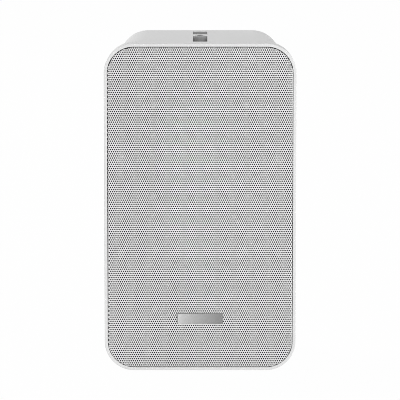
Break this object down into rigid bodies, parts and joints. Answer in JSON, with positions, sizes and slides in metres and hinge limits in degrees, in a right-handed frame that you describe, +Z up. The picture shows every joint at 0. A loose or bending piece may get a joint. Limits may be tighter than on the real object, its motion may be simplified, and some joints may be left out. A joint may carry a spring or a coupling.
{
  "type": "loudspeaker",
  "caption": "Two-way wall loudspeaker: tapered white moulded cabinet with a perforated steel grille, cone woofer, horn tweeter and spring terminals.",
  "frame": {"origin": "middle of the cabinet's box, at the height of the rim's lowest edge", "axes": "+Z up, the grille faces -Y, +X to the right of someone looking at the grille"},
  "size_m": [0.18, 0.125, 0.311],
  "materials": {
    "cabinet_plastic": "white moulded, fine texture",
    "grille_steel": "white powder coat",
    "plate_metal": "satin",
    "insert_nickel": "nickel plated",
    "contact_brass": "stamped",
    "baffle_plastic": "dark moulded",
    "seal_foam": "closed cell",
    "basket_steel": "black",
    "surround_rubber": "matt",
    "cone_paper": "pressed pulp",
    "spider_cloth": "varnished weave",
    "dome_silk": "coated weave",
    "former_foil": "thin foil",
    "coil_copper": "lacquered copper wire",
    "plated_steel": "zinc plated",
    "magnet_ferrite": "sintered",
    "terminal_plastic": "black",
    "lever_red": "red",
    "lever_black": "black",
    "board_laminate": "phenolic laminate",
    "former_plastic": "black",
    "capacitor_film": "wrapped film",
    "resistor_cement": "cast",
    "wadding_fibre": "loose dark polyester"
  },
  "bodies": {
    "housing": {"cabinet": "cabinet_plastic", "grille": "grille_steel", "name_plate": "plate_metal", "top_insert": "insert_nickel", "bottom_insert": "insert_nickel", "woofer_tags": "contact_brass", "terminal_contacts": "contact_brass", "front_baffle": "baffle_plastic", "tweeter_horn": "baffle_plastic", "baffle_seal": "seal_foam", "woofer_gasket": "seal_foam", "woofer_basket": "basket_steel", "woofer_surround": "surround_rubber", "woofer_spider": "spider_cloth", "tweeter_suspension": "dome_silk", "inductor_winding": "coil_copper", "woofer_top_plate": "plated_steel", "woofer_yoke": "plated_steel", "tweeter_top_plate": "plated_steel", "tweeter_yoke": "plated_steel", "lever_pin": "plated_steel", "baffle_screws": "plated_steel", "woofer_screws": "plated_steel", "tweeter_screws": "plated_steel", "cup_screws": "plated_steel", "board_screws": "plated_steel", "woofer_magnet": "magnet_ferrite", "tweeter_magnet": "magnet_ferrite", "terminal_cup": "terminal_plastic", "terminal_block": "terminal_plastic", "crossover_board": "board_laminate", "woofer_tag_strip": "board_laminate", "inductor_former": "former_plastic", "woofer_capacitor": "capacitor_film", "tweeter_capacitor": "capacitor_film", "crossover_resistor": "resistor_cement", "acoustic_wadding": "wadding_fibre"},
    "cone_assembly": {"woofer_cone": "cone_paper", "dust_cap": "cone_paper", "voice_coil_former": "former_foil", "voice_coil": "coil_copper"},
    "tweeter_diaphragm": {"tweeter_dome": "dome_silk", "tweeter_coil": "coil_copper"},
    "red_terminal_lever": {"red_lever": "lever_red"},
    "black_terminal_lever": {"black_lever": "lever_black"}
  },
  "joints": [
    {"name": "woofer_travel", "type": "slide", "parent": "housing", "child": "cone_assembly", "axis": [0, -1, 0], "range_m": [-0.003, 0.003], "stiffness_N_per_m": 1200, "deforming": ["woofer_surround", "woofer_spider"]},
    {"name": "tweeter_travel", "type": "slide", "parent": "housing", "child": "tweeter_diaphragm", "axis": [0, -1, 0], "range_m": [-0.0002, 0.0002], "stiffness_N_per_m": 900, "deforming": ["tweeter_suspension"]},
    {"name": "red_lever_press", "type": "hinge", "parent": "housing", "child": "red_terminal_lever", "pos_m": [-0.01175, 0.0556, 0.088], "axis": [-1, 0, 0], "range_deg": [0, 15], "stiffness_Nm_per_rad": 0.05, "springref_deg": -8.59},
    {"name": "black_lever_press", "type": "hinge", "parent": "housing", "child": "black_terminal_lever", "pos_m": [0.01175, 0.0556, 0.088], "axis": [-1, 0, 0], "range_deg": [0, 15], "stiffness_Nm_per_rad": 0.05, "springref_deg": -8.59}
  ]
}
